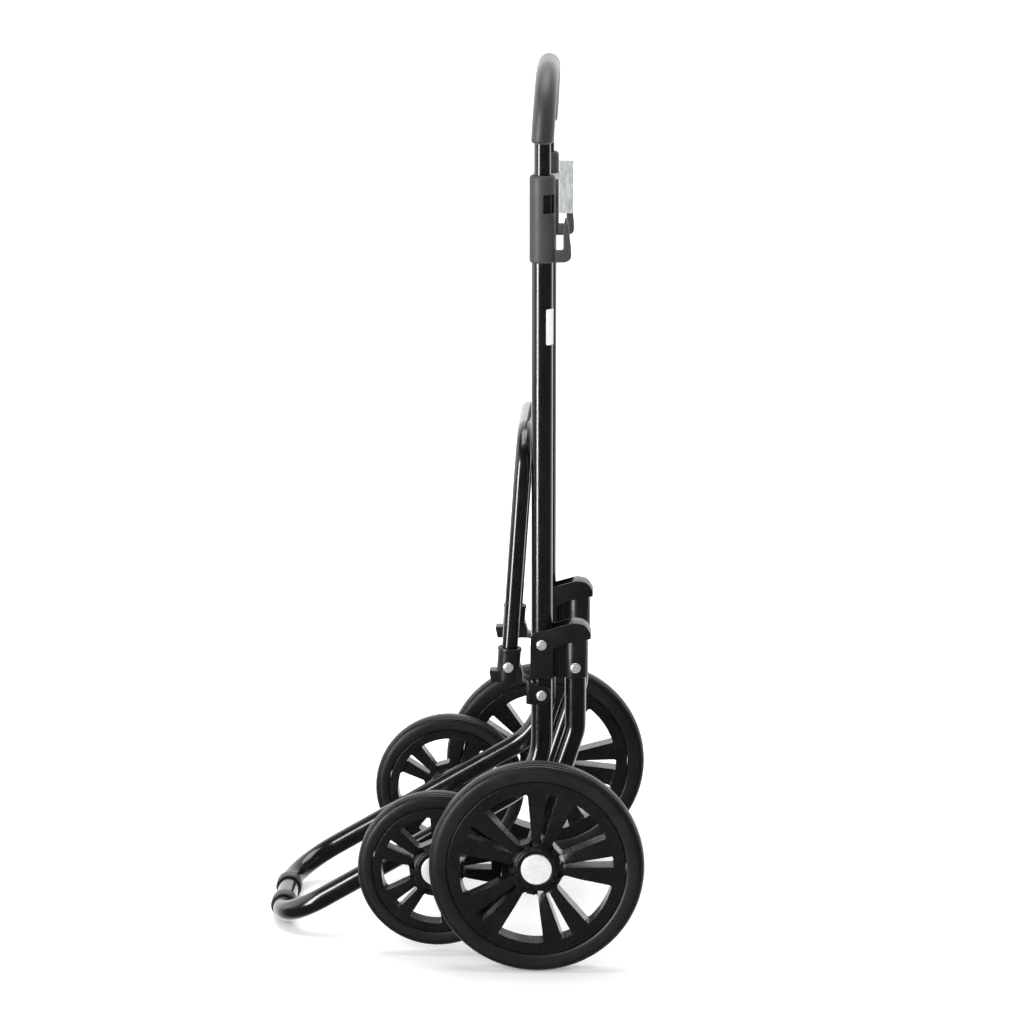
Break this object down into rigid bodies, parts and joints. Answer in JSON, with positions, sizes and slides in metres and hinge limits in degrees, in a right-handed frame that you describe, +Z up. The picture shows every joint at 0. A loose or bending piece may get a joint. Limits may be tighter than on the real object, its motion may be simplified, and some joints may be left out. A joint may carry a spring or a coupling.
{
  "type": "shopping trolley frame",
  "caption": "Folding tubular shopping trolley frame on big rear and small front wheels, with telescoping handle, bag hooks and fold-down load platform.",
  "frame": {"origin": "middle of the footprint box at floor level, under the legs and ahead of the big axle", "axes": "+Z up, -X towards the front loop, +X towards the user, -Y to the trolley's left"},
  "size_m": [0.3968, 0.4416, 0.9137],
  "materials": {
    "black_paint": "glossy black powder coat with slight orange peel",
    "black_plastic": "satin black moulded plastic",
    "collar_plastic": "matt dark grey moulded plastic",
    "rim_plastic": "satin black moulded plastic",
    "bush_plastic": "smooth grey bearing plastic",
    "tyre": "matt charcoal rubber with fine grooves",
    "sleeve_rubber": "smooth black rubber",
    "grip_foam": "closed-cell dark grey foam",
    "bright_steel": "bright zinc-plated steel",
    "hub_cap": "pale silver plastic, blank",
    "white_label": "blank white film",
    "clear_plastic": "clear plastic film"
  },
  "bodies": {
    "frame": {"chassis_tube": "black_paint", "hook_collar_left": "collar_plastic", "hook_collar_right": "collar_plastic", "foot_sleeve_left": "sleeve_rubber", "foot_sleeve_right": "sleeve_rubber", "rear_pivot_rivet_left": "bright_steel", "rear_pivot_rivet_right": "bright_steel", "deck_pivot_rivet_left": "bright_steel", "deck_pivot_rivet_right": "bright_steel", "axle_saddle_left": "black_plastic", "axle_saddle_right": "black_plastic", "blank_label": "white_label", "clear_tag": "clear_plastic", "small_axle": "bright_steel", "small_washer_left": "bright_steel", "small_washer_right": "bright_steel"},
    "handle": {"handle_tube": "black_paint", "handle_grip": "grip_foam", "handle_plug_left": "black_plastic", "handle_plug_right": "black_plastic"},
    "platform": {"deck_tube": "black_paint", "deck_bracket_left": "black_plastic", "deck_bracket_right": "black_plastic", "deck_rivet_left": "bright_steel", "deck_rivet_right": "bright_steel"},
    "rear_leg": {"rear_tube_left": "black_paint", "rear_tube_right": "black_paint", "rear_bracket_left": "black_plastic", "rear_bracket_right": "black_plastic", "rear_rivet_left": "bright_steel", "rear_rivet_right": "bright_steel", "big_axle": "bright_steel", "big_washer_left": "bright_steel", "big_washer_right": "bright_steel"},
    "big_wheel_left": {"big_tyre_left": "tyre", "big_rim_left": "rim_plastic", "big_bush_left": "bush_plastic", "big_cap_left": "hub_cap"},
    "big_wheel_right": {"big_tyre_right": "tyre", "big_rim_right": "rim_plastic", "big_bush_right": "bush_plastic", "big_cap_right": "hub_cap"},
    "small_wheel_left": {"small_tyre_left": "tyre", "small_rim_left": "rim_plastic", "small_bush_left": "bush_plastic", "small_cap_left": "hub_cap"},
    "small_wheel_right": {"small_tyre_right": "tyre", "small_rim_right": "rim_plastic", "small_bush_right": "bush_plastic", "small_cap_right": "hub_cap"}
  },
  "joints": [
    {"name": "handle_slide", "type": "slide", "parent": "frame", "child": "handle", "axis": [0, 0, 1], "range_m": [-0.02, 0.15]},
    {"name": "platform_fold", "type": "hinge", "parent": "frame", "child": "platform", "pos_m": [0.09087, 0, 0.2644], "axis": [0, -1, 0], "range_deg": [0, 90]},
    {"name": "rear_leg_swing", "type": "hinge", "parent": "frame", "child": "rear_leg", "pos_m": [0.09087, 0, 0.318], "axis": [0, -1, 0], "range_deg": [0, 35]},
    {"name": "big_wheel_left_spin", "type": "hinge", "parent": "rear_leg", "child": "big_wheel_left", "pos_m": [0.08837, -0.205, 0.11], "axis": [0, 1, 0], "continuous": true},
    {"name": "small_wheel_left_spin", "type": "hinge", "parent": "frame", "child": "small_wheel_left", "pos_m": [-0.01562, -0.155, 0.092], "axis": [0, 1, 0], "continuous": true},
    {"name": "big_wheel_right_spin", "type": "hinge", "parent": "rear_leg", "child": "big_wheel_right", "pos_m": [0.08837, 0.205, 0.11], "axis": [0, 1, 0], "continuous": true},
    {"name": "small_wheel_right_spin", "type": "hinge", "parent": "frame", "child": "small_wheel_right", "pos_m": [-0.01562, 0.155, 0.092], "axis": [0, 1, 0], "continuous": true}
  ]
}
